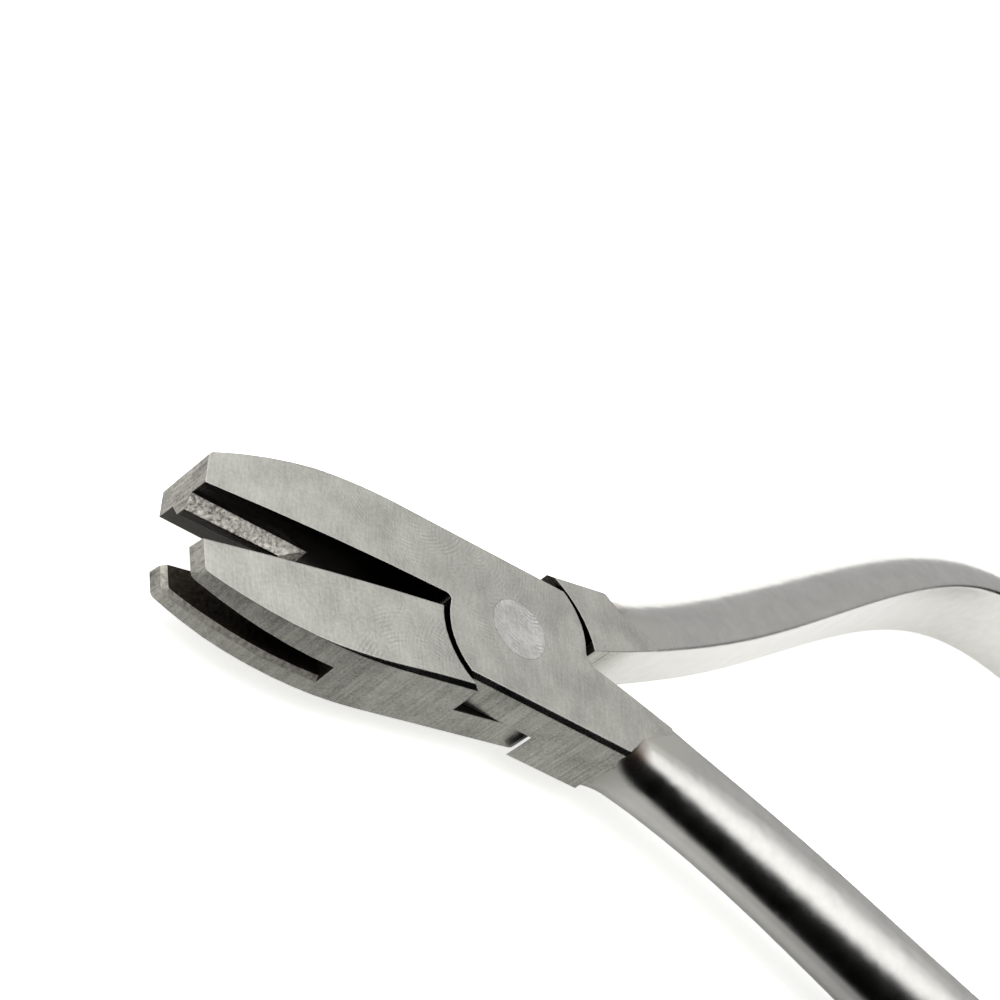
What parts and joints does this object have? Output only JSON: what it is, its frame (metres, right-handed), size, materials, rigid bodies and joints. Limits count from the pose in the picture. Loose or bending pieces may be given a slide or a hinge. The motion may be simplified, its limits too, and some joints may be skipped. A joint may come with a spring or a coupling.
{
  "type": "orthodontic pliers",
  "caption": "Hand-held wire-forming pliers of ground steel: one jaw with a V ridge presses wire into the other jaw's forked slot; a lap joint on a flush rivet; bowed handles.",
  "frame": {"origin": "where the hinge axis leaves the joint's lower face", "axes": "+Z along the hinge axis towards the upper lap plate, -X towards the jaws, +X towards the handles, +Y towards the ridge jaw's side"},
  "size_m": [0.1287, 0.0728, 0.01],
  "materials": {
    "forged_steel": "ground and brushed satin, polished along the handles",
    "rivet_steel": "ground flush"
  },
  "bodies": {
    "fork": {"fork_half": "forged_steel", "hinge_rivet": "rivet_steel"},
    "ridge": {"ridge_half": "forged_steel"}
  },
  "joints": [
    {"name": "jaw_hinge", "type": "hinge", "parent": "fork", "child": "ridge", "pos_m": [0, 0, 0], "axis": [0, 0, -1], "range_deg": [-10, 12]}
  ]
}
